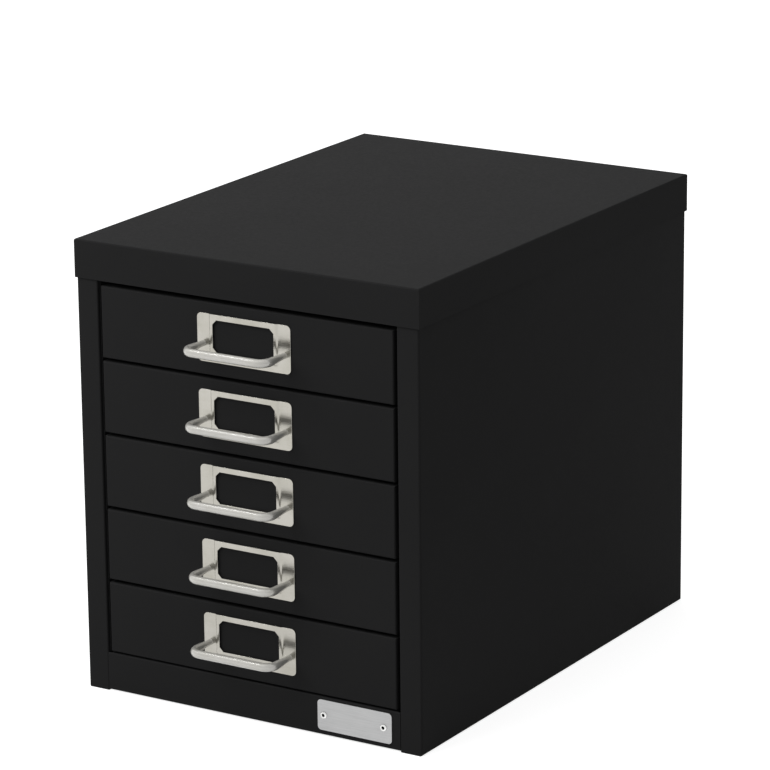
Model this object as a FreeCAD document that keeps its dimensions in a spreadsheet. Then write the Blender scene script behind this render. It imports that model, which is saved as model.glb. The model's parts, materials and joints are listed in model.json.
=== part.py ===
import FreeCAD, Part
import os
import Sketcher
from FreeCAD import Vector

# Desktop drawer unit: a folded-steel carcass with five equal drawers on channel runners.
# Millimetres. The origin is the centre of the standing face, +X to the right seen from
# the front, -Y to the front, +Z up.

doc = FreeCAD.newDocument("DrawerUnit")

# Driving sizes
DRIVING = [
    ("unit_width", "280"),            # across the lid
    ("unit_depth", "380"),            # front to back of the lid
    ("unit_height", "330"),           # floor to the top of the lid
    ("drawer_count", "5"),
    ("body_sheet", "0.8"),            # carcass sheet
    ("lid_sheet", "0.8"),
    ("lid_skirt", "27.7"),            # height of the lid's rim
    ("lid_play", "0.1"),              # between the lid's rim and the body
    ("lid_fold", "1.4"),              # outer radius of the lid's folds
    ("body_fold", "1.6"),             # outer radius of the body's folds
    ("edge_fold", "1"),               # outer radius of the small folds
    ("stile_width", "17.3"),
    ("stile_return", "14"),           # how far the stile folds back into the unit
    ("rail_top", "28.6"),             # top of the bottom rail
    ("rail_return", "13"),            # how far the rails fold back
    ("rail_end_play", "0.3"),         # between a rail's folds and the side liners
    ("pan_setback", "6"),             # floor pan's front edge behind the front face
    ("pan_upturn", "18"),             # height of the floor pan's sides
    ("liner_setback", "2.8"),         # liner's front edge behind the front face
    ("flange_play", "1.6"),           # between the back panel's edge and the side wall
    ("gap_under", "1.4"),             # bottom rail to the lowest drawer front
    ("gap_between", "2.6"),           # drawer front to drawer front
    ("gap_over", "3.8"),              # highest drawer front to the lid's rim
    ("gap_side", "2.8"),              # stile to drawer front
    ("front_sheet", "0.8"),
    ("front_return", "12"),           # how far a drawer front folds back
    ("front_fold", "1.2"),
    ("tray_sheet", "0.7"),
    ("tray_fold", "1.2"),
    ("tray_lift", "3"),               # tray floor above the front's lower edge
    ("tray_drop", "4.5"),             # tray rim below the front's upper edge
    ("tray_rear_gap", "5.2"),         # tray to the back panel
    ("runner_sheet", "0.8"),
    ("runner_reach", "7.5"),          # depth of the runner channel
    ("runner_inside", "3.6"),         # clear height in the runner channel
    ("runner_fold", "0.7"),
    ("runner_gap", "0.8"),            # runner's front end behind the stile's return
    ("slide_play", "0.3"),            # under the tray's rim, and at its rear stop
    ("web_play", "0.9"),              # tray rim to the runner's web
    ("wall_play", "1"),               # tray wall to the runner's lips
    ("rim_setback", "1"),             # tray rim's front end behind the front's return
    ("lug_height", "1.8"),            # stop lug bent up from the tray's rim
    ("lug_length", "6"),
    ("lug_ahead", "42"),              # stop lug ahead of the tray's rear
    ("tab_drop", "1.8"),              # stop tab bent down into the runner
    ("tab_width", "4.6"),
    ("tab_back", "6"),                # stop tab behind the runner's front end
    ("plate_width", "76"),            # label-holder plate of the handle
    ("plate_height", "34.5"),
    ("plate_rise", "1.1"),            # its middle above the middle of the front
    ("plate_sheet", "0.8"),
    ("plate_corner", "3.5"),
    ("plate_raise", "1.6"),           # how far the label pocket stands out
    ("pocket_width", "58"),           # foot of the label pocket
    ("pocket_foot", "3.6"),           # flat strip under the label pocket
    ("window_width", "49.6"),
    ("window_height", "22.9"),
    ("window_head", "4"),             # strip over the window
    ("window_cut", "3.2"),            # cut corners of the window
    ("bow_wire", "5.6"),
    ("bow_span", "66"),               # leg to leg, centre to centre
    ("bow_reach", "25"),              # plate to the centre of the bow's bar
    ("bow_bend", "7.5"),              # bend radius on the wire's centre
    ("bow_below", "5.1"),             # wire below the middle of the plate
    ("clinch_height", "10"),          # of the tabs that hold the plate to the drawer front
    ("clinch_length", "6"),           # how far a tab lies along the inside of the tray
    ("clinch_play", "0.1"),           # round a tab in its slots
    ("badge_width", "60"),            # blank plate on the bottom rail
    ("badge_height", "22.3"),
    ("badge_sheet", "0.6"),
    ("badge_corner", "2.8"),
    ("badge_side", "85.2"),           # its middle, to the right of the unit's middle
    ("badge_up", "15.6"),             # its middle above the floor
    ("rivet_span", "48.5"),
    ("rivet_shift", "-0.8"),          # middle of the rivets from the plate's middle
    ("rivet_shank", "3"),
    ("rivet_play", "0.1"),            # round the shank, on the diameter
    ("rivet_head", "5.4"),
    ("rivet_dome", "1.1"),
    ("rivet_bevel", "0.7"),           # on the rim of the rivet's head
    ("rivet_bore", "2.2"),
    ("rivet_tail", "1.5"),            # beyond the rail's sheet
    ("rivet_tail_width", "4.4"),
]

# Sizes worked out from the driving ones
DERIVED = [
    ("half_width", "unit_width / 2"),
    ("half_depth", "unit_depth / 2"),
    ("body_half", "half_width - lid_sheet - lid_play"),
    ("body_front", "half_depth - lid_sheet - lid_play"),
    ("body_top", "unit_height - lid_sheet"),
    ("wall_inner", "body_half - body_sheet"),
    ("opening_half", "body_half - stile_width"),
    ("opening_top", "unit_height - lid_skirt"),
    ("return_outer", "opening_half + body_sheet"),
    ("return_end", "body_front - stile_return"),
    ("front_inner", "body_front - body_sheet"),
    ("liner_half", "opening_half - body_sheet"),
    ("liner_front", "body_front - liner_setback"),
    ("liner_flange_front", "return_end - runner_gap"),
    ("liner_lap", "liner_front - liner_flange_front"),
    ("flange_edge", "wall_inner - flange_play"),
    ("back_flange_half", "liner_half - rail_end_play"),
    ("top_inner", "body_top - body_sheet"),
    ("top_flange_under", "top_inner - body_sheet"),
    ("bottom_flange_over", "body_sheet * 2"),
    ("back_outer", "body_front - body_sheet"),
    ("back_inner", "back_outer - body_sheet"),
    ("back_flange_front", "back_inner - stile_return"),
    ("liner_length", "liner_flange_front + back_inner"),
    ("pan_front", "body_front - pan_setback"),
    ("rail_flange_half", "liner_half - body_fold - rail_end_play"),
    ("rail_back", "body_front - rail_return"),
    ("rail_top_under", "rail_top - body_sheet"),
    ("top_rail_over", "opening_top + body_sheet"),
    ("front_height",
     "(opening_top - rail_top - gap_under - gap_over - (drawer_count - 1) * gap_between) / drawer_count"),
    ("front_half", "opening_half - gap_side"),
    ("first_drawer", "rail_top + gap_under"),
    ("drawer_pitch", "front_height + gap_between"),
    ("front_back", "body_front - front_sheet"),
    ("web_half", "liner_half - runner_sheet"),
    ("lip_half", "liner_half - runner_reach"),
    ("tray_half", "lip_half - wall_play"),
    ("rim_half", "web_half - web_play"),
    ("rim_top", "front_height - tray_drop"),
    ("rim_under", "rim_top - tray_sheet"),
    ("rim_front", "body_front - front_return - rim_setback"),
    ("rim_back", "tray_back - tray_fold"),
    ("tray_height", "rim_top - tray_lift"),
    ("tray_back", "back_inner - tray_rear_gap"),
    ("lug_inner", "rim_half - tray_sheet"),
    ("lug_back", "tray_back - lug_ahead"),
    ("lug_front", "lug_back - lug_length"),
    ("runner_floor", "rim_under - slide_play"),
    ("runner_low", "runner_floor - runner_sheet"),
    ("runner_ceiling", "runner_floor + runner_inside"),
    ("runner_high", "runner_ceiling + runner_sheet"),
    ("runner_front", "return_end - runner_gap"),
    ("runner_stop", "rim_back + slide_play"),
    ("runner_back", "runner_stop + runner_sheet"),
    ("runner_length", "runner_front + runner_back"),
    ("tab_low", "runner_ceiling - tab_drop"),
    ("tab_inner", "web_half - tab_width"),
    ("tab_front", "runner_front - tab_back"),
    ("plate_half", "plate_width / 2"),
    ("plate_low", "(front_height - plate_height) / 2 + plate_rise"),
    ("plate_top", "plate_low + plate_height"),
    ("plate_front", "body_front + plate_sheet"),
    ("pocket_out", "plate_raise + plate_sheet"),
    ("pocket_half", "pocket_width / 2"),
    ("pocket_low", "plate_low + pocket_foot"),
    ("pocket_past", "plate_top + pocket_out * 2"),
    ("trim_top", "pocket_past + pocket_out"),
    ("hollow_half", "pocket_half - plate_sheet * sqrt(2)"),
    ("hollow_low", "pocket_low + plate_sheet * sqrt(2)"),
    ("window_half", "window_width / 2"),
    ("window_high", "plate_top - window_head"),
    ("window_low", "window_high - window_height"),
    ("window_half_cut", "window_half - window_cut"),
    ("window_high_cut", "window_high - window_cut"),
    ("window_low_cut", "window_low + window_cut"),
    ("bow_half", "bow_span / 2"),
    ("bow_level", "front_height / 2 + plate_rise - bow_below"),
    ("bow_bar_half", "bow_half - bow_bend"),
    ("bow_out", "plate_front + bow_reach"),
    ("bow_turn", "bow_bend * tan(15)"),
    ("bow_turn_start", "bow_out - bow_bend + bow_turn"),
    ("bow_turn_end", "bow_bar_half + bow_turn"),
    ("bow_turn_mid", "bow_bend * cos(45) / cos(15)"),
    ("bow_turn_side", "bow_bar_half + bow_turn_mid"),
    ("bow_turn_out", "bow_out - bow_bend + bow_turn_mid"),
    ("tray_front_inner", "front_back - tray_sheet"),
    ("clinch_inner", "plate_half - plate_sheet"),
    ("clinch_end", "plate_half - clinch_length"),
    ("clinch_low", "plate_low + (plate_height - clinch_height) / 2"),
    ("clinch_high", "clinch_low + clinch_height"),
    ("clinch_grip", "front_sheet + tray_sheet"),
    ("slot_inner", "clinch_inner - clinch_play"),
    ("slot_outer", "plate_half + clinch_play"),
    ("slot_low", "clinch_low - clinch_play"),
    ("slot_high", "clinch_high + clinch_play"),
    ("badge_low", "badge_up - badge_height / 2"),
    ("badge_left", "badge_side - badge_width / 2"),
    ("badge_right", "badge_side + badge_width / 2"),
    ("badge_top", "badge_low + badge_height"),
    ("badge_front", "body_front + badge_sheet"),
    ("rivet_left", "badge_side + rivet_shift - rivet_span / 2"),
    ("rivet_right", "rivet_left + rivet_span"),
    ("rivet_hole", "rivet_shank + rivet_play"),
    ("rivet_grip", "badge_sheet + body_sheet"),
    ("rivet_depth", "rivet_dome + rivet_grip + rivet_tail"),
    ("rivet_front", "badge_front + rivet_dome"),
]

sizes = doc.addObject("Spreadsheet::Sheet", "Sizes")
for row, (alias, text) in enumerate(DRIVING, start=1):
    sizes.set(f"A{row}", alias.replace("_", " "))
    sizes.set(f"B{row}", text)
    sizes.setAlias(f"B{row}", alias)
for row, (alias, formula) in enumerate(DERIVED, start=1):
    sizes.set(f"D{row}", alias.replace("_", " "))
    sizes.set(f"E{row}", "=" + formula)
    sizes.setAlias(f"E{row}", alias)
doc.recompute()


# Helpers
def value(word):
    """The number behind an alias, a negated alias or the word zero."""
    if word == "zero":
        return 0.0
    if word.startswith("-"):
        return -float(getattr(sizes, word[1:]))
    return float(getattr(sizes, word))


def bound(word):
    """The expression that ties a property to the sheet."""
    if word == "zero":
        return "0"
    if word.startswith("-"):
        return "-Sizes." + word[1:]
    return "Sizes." + word


def new_body(label):
    body = doc.addObject("PartDesign::Body", label)
    body.Label = label
    return body


def attach(sketch, body, role, offset="zero"):
    """Put a sketch on one of its own body's origin planes, moved along the plane's normal."""
    planes = [item for item in body.Origin.OriginFeatures if item.Role == role]
    sketch.AttachmentSupport = [(planes[0], "")]
    sketch.MapMode = "FlatFace"
    if offset != "zero":
        sketch.setExpression("AttachmentOffset.Base.z", bound(offset))


def drive(sketch, kind, element, point, word):
    """Hold one coordinate of a point at a size of the sheet."""
    index = sketch.addConstraint(Sketcher.Constraint(kind, -1, 1, element, point, value(word)))
    if word != "zero":
        sketch.setExpression(f"Constraints[{index}]", bound(word))


def outline(body, role, corners, offset="zero"):
    """A closed straight-sided sketch whose corners are named sizes."""
    sketch = body.newObject("Sketcher::SketchObject", body.Label + "_outline")
    attach(sketch, body, role, offset)
    points = [Vector(value(across), value(along), 0) for across, along in corners]
    last = len(points) - 1
    for index, point in enumerate(points):
        following = points[0] if index == last else points[index + 1]
        sketch.addGeometry(Part.LineSegment(point, following), False)
    for index in range(len(points)):
        following = 0 if index == last else index + 1
        sketch.addConstraint(Sketcher.Constraint("Coincident", index, 2, following, 1))
    for index, (across, along) in enumerate(corners):
        drive(sketch, "DistanceX", index, 1, across)
        drive(sketch, "DistanceY", index, 1, along)
    return sketch


def centre_line(body, role, corners, offset):
    """An open run of straight lengths whose corners are named sizes."""
    sketch = body.newObject("Sketcher::SketchObject", body.Label + "_line")
    attach(sketch, body, role, offset)
    points = [Vector(value(across), value(along), 0) for across, along in corners]
    lengths = len(points) - 1
    for index in range(lengths):
        sketch.addGeometry(Part.LineSegment(points[index], points[index + 1]), False)
        drive(sketch, "DistanceX", index, 1, corners[index][0])
        drive(sketch, "DistanceY", index, 1, corners[index][1])
    drive(sketch, "DistanceX", lengths - 1, 2, corners[lengths][0])
    drive(sketch, "DistanceY", lengths - 1, 2, corners[lengths][1])
    for index in range(lengths - 1):
        sketch.addConstraint(Sketcher.Constraint("Coincident", index, 2, index + 1, 1))
    return sketch


def rectangle(body, role, low_across, high_across, low_along, high_along, offset="zero"):
    corners = [
        (low_across, low_along),
        (high_across, low_along),
        (high_across, high_along),
        (low_across, high_along),
    ]
    return outline(body, role, corners, offset)


def rounds(body, role, centres, diameter, offset="zero"):
    """A sketch of equal circles."""
    sketch = body.newObject("Sketcher::SketchObject", body.Label + "_rounds")
    attach(sketch, body, role, offset)
    for index, (across, along) in enumerate(centres):
        middle = Vector(value(across), value(along), 0)
        sketch.addGeometry(Part.Circle(middle, Vector(0, 0, 1), value(diameter) / 2), False)
        drive(sketch, "DistanceX", index, 3, across)
        drive(sketch, "DistanceY", index, 3, along)
        size = sketch.addConstraint(Sketcher.Constraint("Diameter", index, value(diameter)))
        sketch.setExpression(f"Constraints[{size}]", bound(diameter))
    return sketch


def pad(body, sketch, length, reverse=False, taper=0, both_ways=False):
    """Add a sketch's area over a length along its plane's normal, or against it."""
    feature = body.newObject("PartDesign::Pad", body.Label + "_pad")
    feature.Profile = sketch
    feature.setExpression("Length", bound(length) + (" * 2" if both_ways else ""))
    feature.Reversed = reverse
    feature.Midplane = both_ways
    feature.TaperAngle = taper
    sketch.Visibility = False
    return check(feature)


def pocket(body, sketch, length, reverse=False, taper=0):
    """Cut a sketch's area away, and make sure that it met the solid."""
    before = body.Shape.Volume
    feature = body.newObject("PartDesign::Pocket", body.Label + "_pocket")
    feature.Profile = sketch
    feature.setExpression("Length", bound(length))
    feature.Reversed = reverse
    feature.TaperAngle = taper
    sketch.Visibility = False
    check(feature)
    if feature.Shape.Volume >= before - 1e-6:
        raise RuntimeError(body.Label + ": a pocket cuts nothing")
    return feature


def check(feature):
    doc.recompute()
    if "Invalid" in feature.State or "Error" in feature.State:
        raise RuntimeError(feature.Label + ": the feature failed")
    if feature.Shape.isNull() or not feature.Shape.isValid():
        raise RuntimeError(feature.Label + ": the shape is not valid")
    return feature


def near(number, target):
    return abs(number - target) < 1e-4


def edges(feature, wanted):
    """Names of a feature's edges whose end points and middle pass a test."""
    names = []
    for number, edge in enumerate(feature.Shape.Edges, start=1):
        ends = [vertex.Point for vertex in edge.Vertexes]
        if len(ends) == 2 and wanted(ends[0], ends[1]):
            names.append(f"Edge{number}")
    if not names:
        raise RuntimeError(feature.Label + ": no edge found")
    return names


def fillet(body, feature, wanted, radius):
    rounded = body.newObject("PartDesign::Fillet", body.Label + "_fillet")
    rounded.Base = (feature, edges(feature, wanted))
    rounded.setExpression("Radius", bound(radius))
    return check(rounded)


def shell(body, feature, open_side, sheet):
    """Turn a block into sheet of one thickness, with the faces that pass the test left out."""
    names = []
    for number, face in enumerate(feature.Shape.Faces, start=1):
        if open_side(face.BoundBox):
            names.append(f"Face{number}")
    hollow = body.newObject("PartDesign::Thickness", body.Label + "_shell")
    hollow.Base = (feature, names)
    hollow.setExpression("Value", bound(sheet))
    hollow.Reversed = True
    check(hollow)
    if hollow.Shape.Volume > feature.Shape.Volume / 2:
        raise RuntimeError(body.Label + ": the shell is not hollow")
    return hollow


def mirrored(corners, side):
    """An outline's corners as they are on the right, or turned over to the left."""
    if side > 0:
        return corners
    return [("-" + across, along) for across, along in corners]


def span(low, high, side):
    """Two sizes across the unit, lower one first, on the left or the right."""
    return (low, high) if side > 0 else ("-" + high, "-" + low)


def lift(body, level):
    """Place a drawer's piece at its drawer's level, counted from 0 at the bottom."""
    body.setExpression("Placement.Base.z", f"Sizes.first_drawer + {level} * Sizes.drawer_pitch")


def flat_at(face_box, axis, level):
    """Whether a face is flat across an axis at a level."""
    low = {"x": face_box.XMin, "y": face_box.YMin, "z": face_box.ZMin}[axis]
    high = {"x": face_box.XMax, "y": face_box.YMax, "z": face_box.ZMax}[axis]
    return near(low, level) and near(high, level)


# Carcass
def make_lid():
    """Cap with a rim on four sides that laps over the body."""
    body = new_body("top_lid")
    area = rectangle(body, "XY_Plane", "-half_width", "half_width", "-half_depth", "half_depth", "opening_top")
    block = pad(body, area, "lid_skirt")
    low = value("opening_top")
    top = value("unit_height")
    cap = shell(body, block, lambda box: flat_at(box, "z", low), "lid_sheet")
    fillet(body, cap, lambda start, end: near(start.z, top) and near(end.z, top), "lid_fold")


def make_side_panel(label, side):
    """Side wall with its front stile, back, top and bottom flanges, and the stile's return."""
    body = new_body(label)
    across = span("opening_half", "body_half", side)
    block = pad(body, rectangle(body, "XY_Plane", *across, "-body_front", "body_front"), "body_top")
    outer = side * value("body_half")
    inner = side * value("opening_half")
    front = -value("body_front")

    def stile_fold(start, end):
        return not near(start.z, end.z) and near(start.x, inner) and near(start.y, front)

    def outer_fold(start, end):
        upright = not near(start.z, end.z)
        on_floor = near(start.z, 0) and near(end.z, 0)
        return near(start.x, outer) and near(end.x, outer) and (upright or on_floor)

    rounded = fillet(body, block, outer_fold, "body_fold")
    shell(body, rounded, lambda box: flat_at(box, "x", inner), "body_sheet")
    across = span("opening_half", "return_outer", side)
    area = rectangle(body, "XY_Plane", *across, "-body_front", "-return_end")
    stile = pad(body, area, "body_top")
    fillet(body, stile, stile_fold, "edge_fold")


def make_back_panel():
    """Flat back, welded inside the side panels' back flanges, with its top edge folded forward."""
    body = new_body("back_panel")
    area = rectangle(body, "XZ_Plane", "-flange_edge", "flange_edge", "body_sheet", "top_inner", "-back_inner")
    pad(body, area, "body_sheet", reverse=True)
    area = rectangle(body, "XY_Plane", "-back_flange_half", "back_flange_half", "back_flange_front",
                     "back_inner", "top_flange_under")
    pad(body, area, "body_sheet")


def make_base_pan():
    """Floor that the unit stands on, with its sides and rear folded up and its front edge plain."""
    body = new_body("base_pan")
    area = rectangle(body, "XY_Plane", "-liner_half", "liner_half", "-pan_front", "back_inner")
    block = pad(body, area, "pan_upturn")
    half = value("liner_half")
    rear = value("back_inner")
    front = -value("pan_front")
    top = value("pan_upturn")

    def folded(start, end):
        on_floor = near(start.z, 0) and near(end.z, 0)
        along_side = near(abs(start.x), half) and near(start.x, end.x)
        along_rear = near(start.y, rear) and near(end.y, rear)
        return on_floor and (along_side or along_rear)

    rounded = fillet(body, block, folded, "body_fold")
    shell(body, rounded, lambda box: flat_at(box, "z", top) or flat_at(box, "y", front), "body_sheet")


def make_rail(label, low, low_inside, high_inside, high):
    """Front rail folded back at its top and bottom, its skin reaching the stiles."""
    body = new_body(label)
    profile = [
        ("-body_front", low),
        ("-rail_back", low),
        ("-rail_back", low_inside),
        ("-front_inner", low_inside),
        ("-front_inner", high_inside),
        ("-rail_back", high_inside),
        ("-rail_back", high),
        ("-body_front", high),
    ]
    pad(body, outline(body, "YZ_Plane", profile), "rail_flange_half", both_ways=True)
    area = rectangle(body, "XZ_Plane", "-opening_half", "opening_half", low, high, "body_front")
    skin = pad(body, area, "body_sheet", reverse=True)
    front = -value("body_front")
    fillet(body, skin, lambda start, end: near(start.y, front) and near(end.y, front)
           and near(start.z, end.z), "edge_fold")
    return body


def make_liner(label, side):
    """Inner wall that carries the runners, lapped inside the stile's return."""
    body = new_body(label)
    profile = mirrored([
        ("liner_half", "body_sheet"),
        ("flange_edge", "body_sheet"),
        ("flange_edge", "bottom_flange_over"),
        ("opening_half", "bottom_flange_over"),
        ("opening_half", "top_flange_under"),
        ("flange_edge", "top_flange_under"),
        ("flange_edge", "top_inner"),
        ("liner_half", "top_inner"),
    ], side)
    pad(body, outline(body, "XZ_Plane", profile, "liner_flange_front"), "liner_length", reverse=True)
    across = span("liner_half", "opening_half", side)
    area = rectangle(body, "XZ_Plane", *across, "body_sheet", "top_inner", "liner_front")
    pad(body, area, "liner_lap", reverse=True)


def make_runner(label, side, level):
    """Channel that a tray's rim slides in, closed at its rear and with a stop tab near its front."""
    body = new_body(label)
    profile = mirrored([
        ("lip_half", "runner_low"),
        ("liner_half", "runner_low"),
        ("liner_half", "runner_high"),
        ("lip_half", "runner_high"),
        ("lip_half", "runner_ceiling"),
        ("web_half", "runner_ceiling"),
        ("web_half", "runner_floor"),
        ("lip_half", "runner_floor"),
    ], side)
    channel = pad(body, outline(body, "XZ_Plane", profile, "runner_front"), "runner_length", reverse=True)
    web = side * value("liner_half")
    fillet(body, channel, lambda start, end: near(start.x, web) and near(end.x, web)
           and near(start.z, end.z), "runner_fold")
    across = span("lip_half", "web_half", side)
    area = rectangle(body, "XZ_Plane", *across, "runner_floor", "runner_ceiling", "-runner_stop")
    pad(body, area, "runner_sheet", reverse=True)
    across = span("tab_inner", "web_half", side)
    area = rectangle(body, "XZ_Plane", *across, "tab_low", "runner_ceiling", "tab_front")
    pad(body, area, "runner_sheet", reverse=True)
    lift(body, level)


def make_name_plate(rail):
    """Blank plate on the bottom rail, and its two hollow rivets."""
    holes = [("rivet_left", "badge_up"), ("rivet_right", "badge_up")]
    pocket(rail, rounds(rail, "XZ_Plane", holes, "rivet_hole", "body_front"), "body_sheet")
    body = new_body("name_plate")
    area = rectangle(body, "XZ_Plane", "badge_left", "badge_right", "badge_low", "badge_top", "body_front")
    plate = pad(body, area, "badge_sheet")
    fillet(body, plate, lambda start, end: not near(start.y, end.y), "badge_corner")
    pocket(body, rounds(body, "XZ_Plane", holes, "rivet_hole", "body_front"), "badge_sheet", reverse=True)

    body = new_body("name_plate_rivets")
    pad(body, rounds(body, "XZ_Plane", holes, "rivet_shank", "badge_front"), "rivet_grip", reverse=True)
    heads = pad(body, rounds(body, "XZ_Plane", holes, "rivet_head", "badge_front"), "rivet_dome")
    rim = -value("rivet_front")
    names = []
    for number, edge in enumerate(heads.Shape.Edges, start=1):
        if near(edge.BoundBox.YMin, rim) and near(edge.BoundBox.YMax, rim):
            names.append(f"Edge{number}")
    bevel = body.newObject("PartDesign::Chamfer", "rivet_head_bevel")
    bevel.Base = (heads, names)
    bevel.setExpression("Size", bound("rivet_bevel"))
    check(bevel)
    tails = rounds(body, "XZ_Plane", holes, "rivet_tail_width", "front_inner")
    pad(body, tails, "rivet_tail", reverse=True)
    pocket(body, rounds(body, "XZ_Plane", holes, "rivet_bore", "rivet_front"), "rivet_depth")


# Drawers, each in a frame whose zero height is its front's lower edge
def cut_slots(body, offset, sheet):
    """The pair of slots that the handle plate's tabs go through."""
    for side in (-1, 1):
        across = span("slot_inner", "slot_outer", side)
        pocket(body, rectangle(body, "XZ_Plane", *across, "slot_low", "slot_high", offset), sheet)


def make_tray(label, level):
    """Folded box with rims that ride in the runners, and a stop lug bent up from each rim."""
    body = new_body(label)
    area = rectangle(body, "XY_Plane", "-tray_half", "tray_half", "-front_back", "tray_back", "tray_lift")
    block = pad(body, area, "tray_height")
    floor = value("tray_lift")
    top = value("rim_top")

    rounded = fillet(body, block, lambda start, end: near(start.z, floor) and near(end.z, floor), "tray_fold")
    shell(body, rounded, lambda box: flat_at(box, "z", top), "tray_sheet")
    for side in (-1, 1):
        across = span("tray_half", "rim_half", side)
        pad(body, rectangle(body, "XY_Plane", *across, "-rim_front", "rim_back", "rim_under"), "tray_sheet")
        across = span("lug_inner", "rim_half", side)
        pad(body, rectangle(body, "XY_Plane", *across, "lug_front", "lug_back", "rim_top"), "lug_height")
    cut_slots(body, "front_back", "tray_sheet")
    lift(body, level)


def make_drawer_front(label, level):
    """Front pan whose four edges fold back round the tray's front end."""
    body = new_body(label)
    area = rectangle(body, "XZ_Plane", "-front_half", "front_half", "zero", "front_height", "body_front")
    block = pad(body, area, "front_return", reverse=True)
    front = -value("body_front")
    rear = front + value("front_return")
    rounded = fillet(body, block, lambda start, end: near(start.y, front) and near(end.y, front),
                     "front_fold")
    shell(body, rounded, lambda box: flat_at(box, "y", rear), "front_sheet")
    cut_slots(body, "body_front", "front_sheet")
    lift(body, level)


def make_handle_plate(label, level):
    """Pressed label holder: flat ears, a label pocket stepped out on three sides and open at the
    top, a window with cut corners, and a tab at each end that is bent over inside the drawer."""
    body = new_body(label)
    slope = 45
    area = rectangle(body, "XZ_Plane", "-plate_half", "plate_half", "plate_low", "plate_top", "body_front")
    sheet = pad(body, area, "plate_sheet")
    fillet(body, sheet, lambda start, end: not near(start.y, end.y), "plate_corner")
    area = rectangle(body, "XZ_Plane", "-pocket_half", "pocket_half", "pocket_low", "pocket_past", "body_front")
    pad(body, area, "pocket_out", taper=-slope)
    area = rectangle(body, "XZ_Plane", "-hollow_half", "hollow_half", "hollow_low", "pocket_past", "body_front")
    pocket(body, area, "plate_raise", reverse=True, taper=-slope)
    area = rectangle(body, "XZ_Plane", "-plate_half", "plate_half", "plate_top", "trim_top", "body_front")
    pocket(body, area, "pocket_out", reverse=True)
    window = outline(body, "XZ_Plane", [
        ("-window_half_cut", "window_low"),
        ("window_half_cut", "window_low"),
        ("window_half", "window_low_cut"),
        ("window_half", "window_high_cut"),
        ("window_half_cut", "window_high"),
        ("-window_half_cut", "window_high"),
        ("-window_half", "window_high_cut"),
        ("-window_half", "window_low_cut"),
    ], "body_front")
    pocket(body, window, "pocket_out", reverse=True)
    for side in (-1, 1):
        across = span("clinch_inner", "plate_half", side)
        area = rectangle(body, "XZ_Plane", *across, "clinch_low", "clinch_high", "body_front")
        pad(body, area, "clinch_grip", reverse=True)
        across = span("clinch_end", "plate_half", side)
        area = rectangle(body, "XZ_Plane", *across, "clinch_low", "clinch_high", "tray_front_inner")
        pad(body, area, "plate_sheet", reverse=True)
    lift(body, level)


def make_handle_bow(label, level):
    """Wire pull brazed to the plate: two legs, a bar, and bends made up of three short lengths."""
    body = new_body(label)
    line = centre_line(body, "XY_Plane", [
        ("-bow_half", "-plate_front"),
        ("-bow_half", "-bow_turn_start"),
        ("-bow_turn_side", "-bow_turn_out"),
        ("-bow_turn_end", "-bow_out"),
        ("bow_turn_end", "-bow_out"),
        ("bow_turn_side", "-bow_turn_out"),
        ("bow_half", "-bow_turn_start"),
        ("bow_half", "-plate_front"),
    ], "bow_level")
    wire = body.newObject("PartDesign::AdditivePipe", "wire")
    wire.Profile = rounds(body, "XZ_Plane", [("-bow_half", "bow_level")], "bow_wire", "plate_front")
    wire.Spine = (line, [f"Edge{number}" for number in range(1, 8)])
    wire.Transition = "Right corner"
    check(wire)
    lift(body, level)


make_lid()
make_side_panel("left_side_panel", -1)
make_side_panel("right_side_panel", 1)
make_back_panel()
make_base_pan()
bottom_rail = make_rail("bottom_rail", "body_sheet", "bottom_flange_over", "rail_top_under", "rail_top")
make_rail("front_top_rail", "opening_top", "top_rail_over", "top_inner", "body_top")
make_liner("left_liner", -1)
make_liner("right_liner", 1)
make_name_plate(bottom_rail)
for level in range(int(value("drawer_count"))):
    number = level + 1
    make_runner(f"left_runner_{number}", -1, level)
    make_runner(f"right_runner_{number}", 1, level)
    make_tray(f"drawer_tray_{number}", level)
    make_drawer_front(f"drawer_front_{number}", level)
    make_handle_plate(f"handle_plate_{number}", level)
    make_handle_bow(f"handle_bow_{number}", level)
doc.recompute()

# Check every object, then write one STEP file for each piece
os.makedirs("parts", exist_ok=True)
for item in doc.Objects:
    if "Invalid" in item.State or "Error" in item.State:
        raise RuntimeError(item.Label + ": not computed")
for item in doc.Objects:
    if not item.isDerivedFrom("PartDesign::Body"):
        continue
    if item.Shape.isNull() or not item.Shape.isValid():
        raise RuntimeError(item.Label + ": no valid shape")
    if len(item.Shape.Solids) != (2 if item.Label == "name_plate_rivets" else 1):
        raise RuntimeError(item.Label + ": the wrong number of solids")
    item.Shape.exportStep(f"parts/{item.Label}.step")
print("drawer travel to the stops:", value("lug_front") + value("tab_front") - value("runner_sheet"))
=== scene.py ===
import json
import math

import bpy
from mathutils import Matrix, Vector

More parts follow.
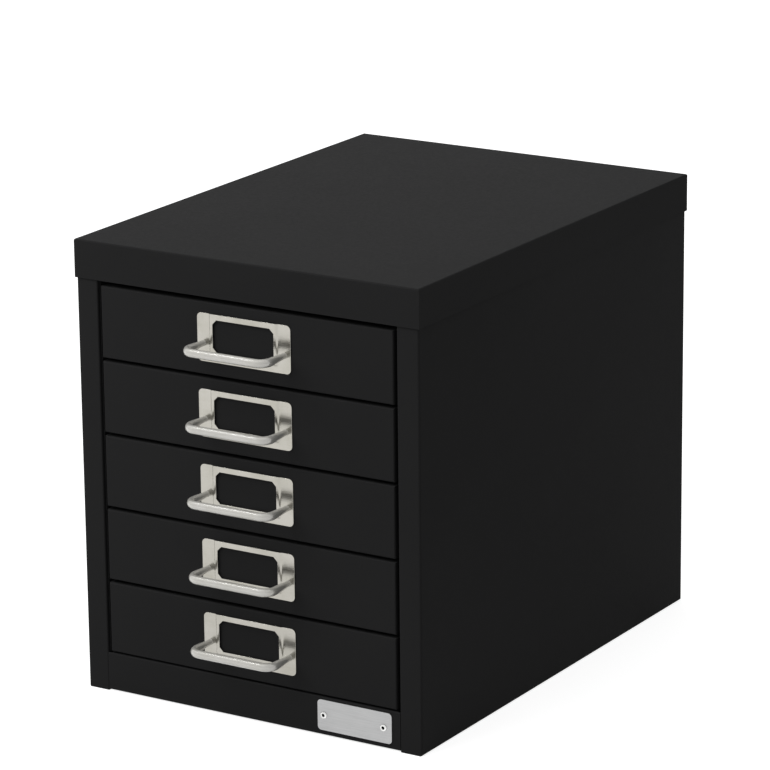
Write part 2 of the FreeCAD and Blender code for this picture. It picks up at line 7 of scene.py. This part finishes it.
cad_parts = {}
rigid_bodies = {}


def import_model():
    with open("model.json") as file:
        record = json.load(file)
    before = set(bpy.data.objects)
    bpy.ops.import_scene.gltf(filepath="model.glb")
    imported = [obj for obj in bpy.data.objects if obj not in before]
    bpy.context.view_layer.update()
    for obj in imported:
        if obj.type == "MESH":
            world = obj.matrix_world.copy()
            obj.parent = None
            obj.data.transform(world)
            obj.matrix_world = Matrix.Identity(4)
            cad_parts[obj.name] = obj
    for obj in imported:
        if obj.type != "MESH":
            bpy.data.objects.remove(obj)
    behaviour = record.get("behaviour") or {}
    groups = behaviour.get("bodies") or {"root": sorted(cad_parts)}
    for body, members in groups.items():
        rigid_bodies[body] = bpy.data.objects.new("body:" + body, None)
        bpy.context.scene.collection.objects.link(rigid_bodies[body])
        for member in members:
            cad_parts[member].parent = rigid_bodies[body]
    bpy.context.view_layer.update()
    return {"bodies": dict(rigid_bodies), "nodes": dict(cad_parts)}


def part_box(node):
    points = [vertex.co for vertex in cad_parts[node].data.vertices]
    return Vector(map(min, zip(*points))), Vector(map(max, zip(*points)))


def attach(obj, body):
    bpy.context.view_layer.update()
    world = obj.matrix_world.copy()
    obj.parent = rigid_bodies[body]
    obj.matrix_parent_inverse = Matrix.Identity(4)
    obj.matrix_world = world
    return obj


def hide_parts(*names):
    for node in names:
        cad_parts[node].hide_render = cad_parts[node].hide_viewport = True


# Looks of a black sheet-steel desktop drawer unit. Metres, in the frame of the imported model:
# +X to the right seen from the front, -Y to the front, +Z up, the floor at zero.

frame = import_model()
DRAWERS = [int(name.split("_")[1]) for name in sorted(frame["bodies"])
           if name.startswith("drawer_")]
MM_PER_METRE = 1000


# Materials
class Surface:
    """A material's nodes, with short ways to make and join them."""

    def __init__(self, name):
        self.material = bpy.data.materials.new(name)
        self.material.use_nodes = True
        self.tree = self.material.node_tree
        self.shader = self.tree.nodes["Principled BSDF"]
        self.place = self.add("ShaderNodeTexCoord").outputs["Object"]

    def add(self, kind, **values):
        node = self.tree.nodes.new(kind)
        for word, value in values.items():
            setattr(node, word, value)
        return node

    def join(self, source, target):
        self.tree.links.new(source, target)

    def fixed(self, **values):
        """Set shader sockets that are the same all over."""
        for word, value in values.items():
            self.shader.inputs[word.replace("_", " ")].default_value = value

    def noise(self, scale, detail, rough=0.5, stretch=(1, 1, 1)):
        mapping = self.add("ShaderNodeMapping")
        mapping.inputs["Scale"].default_value = stretch
        self.join(self.place, mapping.inputs["Vector"])
        texture = self.add("ShaderNodeTexNoise")
        texture.inputs["Scale"].default_value = scale
        texture.inputs["Detail"].default_value = detail
        texture.inputs["Roughness"].default_value = rough
        self.join(mapping.outputs["Vector"], texture.inputs["Vector"])
        return texture.outputs["Fac"]

    def roughness(self, fac, low, high, from_low=0.3, from_high=0.7):
        """Stretch a noise to a range of roughness."""
        node = self.add("ShaderNodeMapRange")
        node.inputs["From Min"].default_value = from_low
        node.inputs["From Max"].default_value = from_high
        node.inputs["To Min"].default_value = low
        node.inputs["To Max"].default_value = high
        self.join(fac, node.inputs["Value"])
        self.join(node.outputs["Result"], self.shader.inputs["Roughness"])

    def colours(self, fac, stops):
        """Turn a noise into colours, given as (position, linear red, green, blue)."""
        ramp = self.add("ShaderNodeValToRGB")
        elements = ramp.color_ramp.elements
        while len(elements) < len(stops):
            elements.new(0.5)
        for element, (position, red, green, blue) in zip(elements, stops):
            element.position = position
            element.color = (red, green, blue, 1)
        self.join(fac, ramp.inputs["Fac"])
        self.join(ramp.outputs["Color"], self.shader.inputs["Base Color"])

    def add_up(self, first, second, share):
        """first + second * share"""
        node = self.add("ShaderNodeMath", operation="MULTIPLY_ADD")
        self.join(second, node.inputs[0])
        node.inputs[1].default_value = share
        self.join(first, node.inputs[2])
        return node.outputs["Value"]

    def bump(self, height, distance, strength):
        node = self.add("ShaderNodeBump")
        node.inputs["Distance"].default_value = distance
        node.inputs["Strength"].default_value = strength
        self.join(height, node.inputs["Height"])
        self.join(node.outputs["Normal"], self.shader.inputs["Normal"])


def powder_coat():
    """Satin black powder coat: faint mottling, and the fine orange peel of a baked powder."""
    surface = Surface("black_powder_coat")
    mottle = surface.noise(scale=9, detail=4)
    grain = surface.noise(scale=420, detail=4, rough=0.6)
    peel = surface.noise(scale=1500, detail=2)
    surface.colours(surface.add_up(mottle, grain, share=0.25), [
        (0.40, 0.0150, 0.0150, 0.0152),
        (0.80, 0.0164, 0.0164, 0.0166),
    ])
    surface.roughness(grain, low=0.56, high=0.66)
    surface.fixed(Specular_IOR_Level=0.012)
    surface.bump(surface.add_up(peel, grain, share=0.5), distance=0.00006, strength=0.35)
    return surface.material


def nickel(name, colour, rough, metal=1.0, coat=0.0):
    """Bright nickel with faint cloudy patches and drawing lines across the drawer."""
    surface = Surface(name)
    cloud = surface.noise(scale=60, detail=4, rough=0.55)
    lines = surface.noise(scale=70, detail=3, rough=0.6, stretch=(1, 26, 26))
    red, green, blue = colour
    surface.colours(surface.add_up(cloud, lines, share=0.3), [
        (0.40, red * 0.90, green * 0.90, blue * 0.88),
        (0.62, red, green, blue),
        (0.82, red * 1.08, green * 1.08, blue * 1.10),
    ])
    surface.roughness(surface.add_up(lines, cloud, share=0.5), *rough, from_low=0.5, from_high=1.0)
    surface.fixed(Metallic=metal, Coat_Weight=coat, Coat_Roughness=0.08, Coat_IOR=1.7)
    surface.bump(lines, distance=0.00002, strength=0.25)
    return surface.material


def brushed_metal():
    """Bare metal plate brushed along its length."""
    surface = Surface("brushed_plate")
    lines = surface.noise(scale=55, detail=3, rough=0.65, stretch=(1, 40, 40))
    cloud = surface.noise(scale=45, detail=3)
    surface.colours(surface.add_up(lines, cloud, share=0.35), [
        (0.45, 0.350, 0.352, 0.354),
        (0.65, 0.400, 0.401, 0.402),
        (0.90, 0.450, 0.450, 0.450),
    ])
    surface.roughness(lines, low=0.34, high=0.50)
    surface.fixed(Metallic=1.0, Anisotropic=0.4)
    surface.bump(lines, distance=0.00003, strength=0.4)
    return surface.material


def rivet_metal():
    """Bright rolled rivet, a little duller in its low spots."""
    surface = Surface("bright_rivet")
    cloud = surface.noise(scale=900, detail=3)
    surface.colours(cloud, [(0.35, 0.66, 0.66, 0.65), (0.65, 0.80, 0.80, 0.79)])
    surface.roughness(cloud, low=0.16, high=0.30)
    surface.fixed(Metallic=1.0)
    surface.bump(cloud, distance=0.00002, strength=0.2)
    return surface.material


BLACK = powder_coat()
NICKEL_PLATE = nickel("nickel_plate", colour=(0.365, 0.353, 0.317), rough=(0.15, 0.22))
NICKEL_WIRE = nickel("nickel_wire", colour=(0.428, 0.419, 0.388), rough=(0.28, 0.38),
                     metal=0.36, coat=0.7)
BRUSHED = brushed_metal()
RIVET = rivet_metal()


def paint(obj, material):
    obj.data.materials.clear()
    obj.data.materials.append(material)


# Shading of the folded pieces and rounding of the plates' edges: angles in degrees, the rest in
# metres
DOUBLED_WITHIN = 0.000002
FOLD_ANGLE = 32
CUT_ANGLE, NAME_PLATE_EDGE = 35, 0.0002
RIM_ANGLE, PRESSED_EDGE = 50, 0.00022


def soft_by_angle():
    """A modifier group that joins doubled points and shades folds up to an angle smooth."""
    group = bpy.data.node_groups.new("smooth_folds", "GeometryNodeTree")
    group.interface.new_socket("Geometry", in_out="INPUT", socket_type="NodeSocketGeometry")
    group.interface.new_socket("Geometry", in_out="OUTPUT", socket_type="NodeSocketGeometry")
    start = group.nodes.new("NodeGroupInput")
    merge = group.nodes.new("GeometryNodeMergeByDistance")
    merge.inputs["Distance"].default_value = DOUBLED_WITHIN
    faces = group.nodes.new("GeometryNodeSetShadeSmooth")
    edges = group.nodes.new("GeometryNodeSetShadeSmooth")
    edges.domain = "EDGE"
    angle = group.nodes.new("GeometryNodeInputMeshEdgeAngle")
    within = group.nodes.new("FunctionNodeCompare")
    within.operation = "LESS_EQUAL"
    within.inputs[1].default_value = math.radians(FOLD_ANGLE)
    end = group.nodes.new("NodeGroupOutput")
    group.links.new(start.outputs[0], merge.inputs["Geometry"])
    group.links.new(merge.outputs["Geometry"], faces.inputs["Geometry"])
    group.links.new(faces.outputs["Geometry"], edges.inputs["Geometry"])
    group.links.new(angle.outputs["Unsigned Angle"], within.inputs[0])
    group.links.new(within.outputs["Result"], edges.inputs["Shade Smooth"])
    group.links.new(edges.outputs["Geometry"], end.inputs[0])
    return group


SMOOTH_FOLDS = soft_by_angle()


def round_edges(obj, width, angle):
    """Round the edges that are sharper than an angle in degrees."""
    bevel = obj.modifiers.new("edge_rounding", "BEVEL")
    bevel.width = width
    bevel.segments = 2
    bevel.limit_method = "ANGLE"
    bevel.angle_limit = math.radians(angle)
    bevel.use_clamp_overlap = True
    bevel.harden_normals = True


def soften(obj):
    """Smooth the folds' shading."""
    folds = obj.modifiers.new("smooth_folds", "NODES")
    folds.node_group = SMOOTH_FOLDS


for name, node in frame["nodes"].items():
    if name == "name_plate":
        paint(node, BRUSHED)
        soften(node)
        round_edges(node, NAME_PLATE_EDGE, CUT_ANGLE)
    elif not name.startswith(("handle_", "name_plate_rivets")):
        paint(node, BLACK)
        soften(node)


# Pieces made here in place of their CAD nodes
def new_piece(name, points, faces, material, body):
    mesh = bpy.data.meshes.new(name)
    mesh.from_pydata(points, [], faces)
    mesh.polygons.foreach_set("use_smooth", [True] * len(mesh.polygons))
    mesh.update()
    obj = bpy.data.objects.new(name, mesh)
    bpy.context.scene.collection.objects.link(obj)
    obj.data.materials.append(material)
    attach(obj, body)
    return obj


# Label-holder plates, in millimetres: x from the middle, y back from the drawer's front, z up from
# the plate's lower edge
PLATE_HALF, PLATE_TALL, PLATE_CORNER, SHEET = 38.0, 34.5, 3.5, 0.8
POCKET_HALF, POCKET_LOW, RAMP, RAISE = 28.4, 4.3, 1.9, 0.9
WINDOW_HALF, WINDOW_LOW, WINDOW_TOP, WINDOW_CUT = 24.8, 7.6, 30.5, 3.2
TAB_LOW, TAB_TOP, TAB_INNER, TAB_STEPS = 12.25, 22.25, 32.0, 6
HAIR = 0.001


def grid_lines(first, *runs):
    """Grid lines from a first number on: each run is (its end, its steps)."""
    found = [first]
    for end, steps in runs:
        begin = found[-1]
        found += [begin + (end - begin) * step / steps for step in range(1, steps + 1)]
    return found


def out_of_flat(x, z):
    """How far the plate is pressed out at a place: a soft ramp on three sides of the pocket."""
    side = (POCKET_HALF - abs(x)) / RAMP
    below = (z - POCKET_LOW) / RAMP
    share = min(side, below)
    if side < 1 and below < 1:
        share = 1 - math.hypot(1 - side, 1 - below)
    share = min(max(share, 0.0), 1.0)
    return RAISE * share * share * (3 - 2 * share)


def rounded_place(x, z):
    """Move a grid point of the outline's corner squares onto quarter discs."""
    middle = PLATE_TALL / 2
    a = (abs(x) - PLATE_HALF + PLATE_CORNER) / PLATE_CORNER
    b = (abs(z - middle) - middle + PLATE_CORNER) / PLATE_CORNER
    if a <= 0 or b <= 0:
        return x, z
    radius = max(a, b)
    angle = math.pi / 4 * (b / a if a >= b else 2 - a / b)
    across = PLATE_HALF - PLATE_CORNER + PLATE_CORNER * radius * math.cos(angle)
    along = middle - PLATE_CORNER + PLATE_CORNER * radius * math.sin(angle)
    return math.copysign(across, x), middle + math.copysign(along, z - middle)


def in_window(x, z):
    side = WINDOW_HALF - abs(x)
    above = min(z - WINDOW_LOW, WINDOW_TOP - z)
    return side > HAIR and above > HAIR and side + above > WINDOW_CUT + HAIR


def plate_shape(grip):
    """Points and faces of a plate: front, back, rims, and two tabs bent over behind a wall that is
    grip thick."""
    half = grid_lines(0.0, (WINDOW_HALF - WINDOW_CUT, 8), (WINDOW_HALF, 4),
                      (POCKET_HALF - RAMP, 2), (POCKET_HALF, 8),
                      (PLATE_HALF - PLATE_CORNER, 4), (PLATE_HALF, 5))
    across = [-x for x in reversed(half[1:])] + half
    up = grid_lines(0.0, (PLATE_CORNER, 5), (POCKET_LOW, 1), (POCKET_LOW + RAMP, 8),
                    (WINDOW_LOW, 2), (WINDOW_LOW + WINDOW_CUT, 4), (WINDOW_TOP - WINDOW_CUT, 8),
                    (WINDOW_TOP, 4), (PLATE_TALL - PLATE_CORNER, 1), (PLATE_TALL, 5))
    number = {}
    points = []
    faces = []
    for i in range(len(across) - 1):
        for j in range(len(up) - 1):
            cell = [(i, j), (i + 1, j), (i + 1, j + 1), (i, j + 1)]
            cell = [(a, b) for a, b in cell if not in_window(across[a], up[b])]
            if len(cell) < 3:
                continue
            face = []
            for a, b in cell:
                if (a, b) not in number:
                    number[a, b] = len(points) // 2
                    x, z = rounded_place(across[a], up[b])
                    raised = out_of_flat(x, z)
                    points += [(x, -SHEET - raised, z), (x, -raised, z)]
                face.append(2 * number[a, b])
            faces.append(tuple(face))
    sides = [side for face in faces for side in zip(face, face[1:] + face[:1])]
    known = set(sides)
    rims = [(second, first, first + 1, second + 1)
            for first, second in sides if (second, first) not in known]
    faces += [tuple(corner + 1 for corner in reversed(face)) for face in faces] + rims
    root = -0.5 * SHEET
    section = [(PLATE_HALF, root)]
    for step in range(TAB_STEPS + 1):
        angle = math.pi / 2 * step / TAB_STEPS
        section.append((PLATE_HALF - SHEET + SHEET * math.cos(angle),
                        grip + SHEET * math.sin(angle)))
    section += [(TAB_INNER, grip + SHEET), (TAB_INNER, grip), (PLATE_HALF - SHEET, grip),
                (PLATE_HALF - SHEET, root)]
    count = len(section)
    for side in (-1, 1):
        base = len(points)
        outline = section if side > 0 else section[::-1]
        points += [(side * x, y, z) for z in (TAB_LOW, TAB_TOP) for x, y in outline]
        for corner in range(count):
            after = (corner + 1) % count
            faces.append((base + corner, base + after, base + count + after, base + count + corner))
        faces.append(tuple(base + corner for corner in reversed(range(count))))
        faces.append(tuple(base + count + corner for corner in range(count)))
    return points, faces


def make_plate(number):
    """The pull's feet end on the plate's face, so the drawer's front is a sheet behind them."""
    low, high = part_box(f"handle_plate_{number}")
    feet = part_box(f"handle_bow_{number}")[1].y
    front = feet + SHEET / MM_PER_METRE
    points, faces = plate_shape((high.y - front) * MM_PER_METRE - SHEET)
    places = [Vector((x / MM_PER_METRE, front + y / MM_PER_METRE, low.z + z / MM_PER_METRE))
              for x, y, z in points]
    plate = new_piece(f"pressed_plate_{number}", places, faces, NICKEL_PLATE, f"drawer_{number}")
    round_edges(plate, PRESSED_EDGE, RIM_ANGLE)
    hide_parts(f"handle_plate_{number}")


# Wire pulls, in metres: the wire's radius and the bends' radius. RISE is how far the feet lie above
# the CAD wire's middle, and DROOP is how much less the bar does. The feet are sunk into the plate
# and swell into a brazed seam.
WIRE, BEND = 0.0028, 0.0075
RISE, DROOP = 0.0008, 0.0002
FOOT_SUNK, SEAM_SWELL, SEAM_REACH = 0.0002, 0.0002, 0.0007
LEG_THINNER = 0.0008
# Shares of the radius
BAR_TALLER, BEND_PINCH = 0.10, 0.02
# Divisions of the mesh
SIDES, LEG_STEPS, BEND_STEPS, BAR_STEPS = 28, 8, 14, 24


def bow_line(half, foot, out):
    """Centre line of a pull: (x, y, tangent x, tangent y) along a leg, a bend, the bar and back."""
    line = []
    turn = out + BEND
    bar = half - BEND
    for step in range(LEG_STEPS + 1):
        y = foot + (turn - foot) * (step / LEG_STEPS) ** 2
        line.append((-half, y, 0.0, -1.0))
    for step in range(1, BEND_STEPS + 1):
        angle = math.pi + math.pi / 2 * step / BEND_STEPS
        line.append((-bar + BEND * math.cos(angle), turn + BEND * math.sin(angle),
                     -math.sin(angle), math.cos(angle)))
    leg_and_bend = list(line)
    for step in range(1, BAR_STEPS):
        line.append((-bar + 2 * bar * step / BAR_STEPS, out, 1.0, 0.0))
    return line + [(-x, y, tx, -ty) for x, y, tx, ty in reversed(leg_and_bend)]


def make_bow(number):
    """A bent wire, drawn thinner along its legs and brazed at its feet."""
    low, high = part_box(f"handle_bow_{number}")
    level = (low.z + high.z) / 2
    foot = high.y
    out = low.y + WIRE
    half = high.x - WIRE
    line = bow_line(half, foot + FOOT_SUNK, out)
    reach = foot - out
    up = Vector((0.0, 0.0, 1.0))
    points = []
    for x, y, tx, ty in line:
        depth = (foot - y) / reach
        middle = Vector((x, y, level + RISE - DROOP * depth))
        side = Vector((-ty, tx, 0.0))
        bent = 4 * abs(tx * ty)
        leg = min(max((y - out - BEND) / (reach - BEND), 0.0), 1.0)
        seam = SEAM_SWELL * max(0.0, 1 - (foot - y) / SEAM_REACH) ** 2
        radius = WIRE - LEG_THINNER * leg * leg * (3 - 2 * leg) + seam
        across = radius * (1 - BEND_PINCH * bent)
        tall = radius * (1 + BAR_TALLER - BAR_TALLER * leg)
        for corner in range(SIDES):
            angle = 2 * math.pi * corner / SIDES
            points.append(middle + side * across * math.cos(angle) + up * tall * math.sin(angle))
    rings = len(line)
    faces = []
    for ring in range(rings - 1):
        for corner in range(SIDES):
            after = (corner + 1) % SIDES
            here, there = ring * SIDES, (ring + 1) * SIDES
            faces.append((here + corner, here + after, there + after, there + corner))
    faces.append(tuple(range(SIDES - 1, -1, -1)))
    faces.append(tuple((rings - 1) * SIDES + corner for corner in range(SIDES)))
    bow = new_piece(f"wire_pull_{number}", points, faces, NICKEL_WIRE, f"drawer_{number}")
    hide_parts(f"handle_bow_{number}")


for number in DRAWERS:
    make_plate(number)
    make_bow(number)


# Hollow rivets of the blank plate, in millimetres: the CAD head's radius, and the outline as
# (radius, height over the plate)
RIVET_HEAD = 2.7
RIVET_OUTLINE = [
    (1.10, -2.80), (1.10, 0.40), (1.13, 0.62), (1.22, 0.82), (1.37, 0.97),
    (1.58, 1.05), (1.80, 1.04), (2.05, 0.95), (2.29, 0.78), (2.50, 0.54),
    (2.63, 0.26), (2.66, 0.04), (2.60, 0.00), (1.50, 0.00), (1.50, -1.40),
    (2.05, -1.42), (2.18, -1.60), (2.18, -2.50), (2.00, -2.80), (1.40, -2.88),
]
RIVET_TURNS = 32


def make_rivets():
    """Two rivets whose heads lie at the ends of the CAD rivets' box, on the plate's face."""
    low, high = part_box("name_plate_rivets")
    plate_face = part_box("name_plate")[0].y
    head = RIVET_HEAD / MM_PER_METRE
    level = (low.z + high.z) / 2
    count = len(RIVET_OUTLINE)
    points = []
    faces = []
    for middle in (low.x + head, high.x - head):
        base = len(points)
        for radius, height in RIVET_OUTLINE:
            radius /= MM_PER_METRE
            for turn in range(RIVET_TURNS):
                angle = 2 * math.pi * turn / RIVET_TURNS
                points.append(Vector((middle + radius * math.cos(angle),
                                      plate_face - height / MM_PER_METRE,
                                      level + radius * math.sin(angle))))
        for ring in range(count):
            here = base + ring * RIVET_TURNS
            there = base + (ring + 1) % count * RIVET_TURNS
            for turn in range(RIVET_TURNS):
                after = (turn + 1) % RIVET_TURNS
                faces.append((here + turn, there + turn, there + after, here + after))
    rivets = new_piece("plate_rivets", points, faces, RIVET, "carcass")
    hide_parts("name_plate_rivets")


make_rivets()


# Floor and light
ROOM_LIGHT = 0.48
FLOOR_REACH, FLOOR_LEVEL = 9.0, -0.0002
FLOOR_GREY, FLOOR_GLOW = 0.48, 0.78
WHITE = (1, 1, 1, 1)


def background_share(tree):
    """1 where the ray comes from the camera, a mirror or glass, else 0, for the room's light."""
    path = tree.nodes.new("ShaderNodeLightPath")
    first = tree.nodes.new("ShaderNodeMath")
    second = tree.nodes.new("ShaderNodeMath")
    first.operation = second.operation = "MAXIMUM"
    tree.links.new(path.outputs["Is Camera Ray"], first.inputs[0])
    tree.links.new(path.outputs["Is Glossy Ray"], first.inputs[1])
    tree.links.new(first.outputs["Value"], second.inputs[0])
    tree.links.new(path.outputs["Is Transmission Ray"], second.inputs[1])
    return second.outputs["Value"]


def make_world():
    """White for the camera and for mirrors, and a plain soft light from all round."""
    world = bpy.data.worlds.new("studio")
    bpy.context.scene.world = world
    world.use_nodes = True
    tree = world.node_tree
    tree.nodes.clear()
    room = tree.nodes.new("ShaderNodeBackground")
    white = tree.nodes.new("ShaderNodeBackground")
    for background, strength in ((room, ROOM_LIGHT), (white, 1.0)):
        background.inputs["Color"].default_value = WHITE
        background.inputs["Strength"].default_value = strength
    mix = tree.nodes.new("ShaderNodeMixShader")
    out = tree.nodes.new("ShaderNodeOutputWorld")
    tree.links.new(background_share(tree), mix.inputs["Fac"])
    tree.links.new(room.outputs["Background"], mix.inputs[1])
    tree.links.new(white.outputs["Background"], mix.inputs[2])
    tree.links.new(mix.outputs["Shader"], out.inputs["Surface"])


def make_floor():
    """A pale floor that the camera and mirrors see as white, with the object's shadow on it."""
    mesh = bpy.data.meshes.new("floor")
    corners = [(x * FLOOR_REACH, y * FLOOR_REACH, FLOOR_LEVEL)
               for x, y in ((-1, -1), (1, -1), (1, 1), (-1, 1))]
    mesh.from_pydata(corners, [], [(0, 1, 2, 3)])
    floor = bpy.data.objects.new("floor", mesh)
    bpy.context.scene.collection.objects.link(floor)
    material = bpy.data.materials.new("pale_floor")
    material.use_nodes = True
    tree = material.node_tree
    tree.nodes.clear()
    diffuse = tree.nodes.new("ShaderNodeBsdfDiffuse")
    diffuse.inputs["Color"].default_value = (FLOOR_GREY, FLOOR_GREY, FLOOR_GREY, 1)
    glow = tree.nodes.new("ShaderNodeEmission")
    glow.inputs["Color"].default_value = WHITE
    strength = tree.nodes.new("ShaderNodeMath")
    strength.operation = "MULTIPLY"
    strength.inputs[1].default_value = FLOOR_GLOW
    tree.links.new(background_share(tree), strength.inputs[0])
    tree.links.new(strength.outputs["Value"], glow.inputs["Strength"])
    both = tree.nodes.new("ShaderNodeAddShader")
    out = tree.nodes.new("ShaderNodeOutputMaterial")
    tree.links.new(diffuse.outputs["BSDF"], both.inputs[0])
    tree.links.new(glow.outputs["Emission"], both.inputs[1])
    tree.links.new(both.outputs["Shader"], out.inputs["Surface"])
    floor.data.materials.append(material)


def aim(obj, toward):
    """Point an object's -Z axis along a direction."""
    obj.rotation_mode = "QUATERNION"
    obj.rotation_quaternion = Vector(toward).to_track_quat("-Z", "Y")


def make_lamp(name, kind, toward, power, mirrored=False):
    """A lamp that no camera sees, and mirrors see only where it is mirrored."""
    light = bpy.data.lights.new(name, kind)
    light.energy = power
    lamp = bpy.data.objects.new(name, light)
    bpy.context.scene.collection.objects.link(lamp)
    lamp.visible_camera = False
    lamp.visible_glossy = mirrored
    aim(lamp, toward)
    return lamp


def make_sun(name, toward, strength, spread):
    lamp = make_lamp(name, "SUN", toward, strength)
    lamp.data.angle = math.radians(spread)


def make_panel(name, place, target, size, power, mirrored=False):
    lamp = make_lamp(name, "AREA", Vector(target) - Vector(place), power, mirrored)
    lamp.data.size = size
    lamp.location = place


make_world()
make_floor()
make_sun("soft_top", toward=(0.30, 0.18, -0.94), strength=1.45, spread=76)
make_panel("soft_key", place=(-0.70, -1.10, 1.25), target=(0.0, -0.1, 0.16), size=1.2, power=15.5)
make_panel("edge_light", place=(-1.25, -0.95, 2.1), target=(0.0, -0.2, 0.16), size=0.2, power=1.8,
           mirrored=True)

# Camera, from the photographed corners of the lid and the body
YAW, PITCH, ROLL = (math.radians(angle) for angle in (-31.864, 16.165, -0.604))
CAMERA_PLACE = Vector((1.5181, -2.4506, 1.0320))
FOCAL_PIXELS = 4153.4
IMAGE_PIXELS = 770
SENSOR_WIDTH = 36.0
CLIP_START, CLIP_END = 0.05, 60.0


def make_camera():
    ahead = Vector((math.sin(YAW) * math.cos(PITCH), math.cos(YAW) * math.cos(PITCH),
                    -math.sin(PITCH)))
    level = Vector((math.cos(YAW), -math.sin(YAW), 0.0))
    above = level.cross(ahead)
    right = level * math.cos(ROLL) + above * math.sin(ROLL)
    up = above * math.cos(ROLL) - level * math.sin(ROLL)
    data = bpy.data.cameras.new("camera")
    data.sensor_width = SENSOR_WIDTH
    data.lens = FOCAL_PIXELS / IMAGE_PIXELS * SENSOR_WIDTH
    data.clip_start = CLIP_START
    data.clip_end = CLIP_END
    camera = bpy.data.objects.new("camera", data)
    bpy.context.scene.collection.objects.link(camera)
    turn = Matrix((right, up, -ahead)).transposed()
    camera.matrix_world = Matrix.Translation(CAMERA_PLACE) @ turn.to_4x4()
    bpy.context.scene.camera = camera


make_camera()
bpy.context.scene.view_settings.view_transform = "Standard"
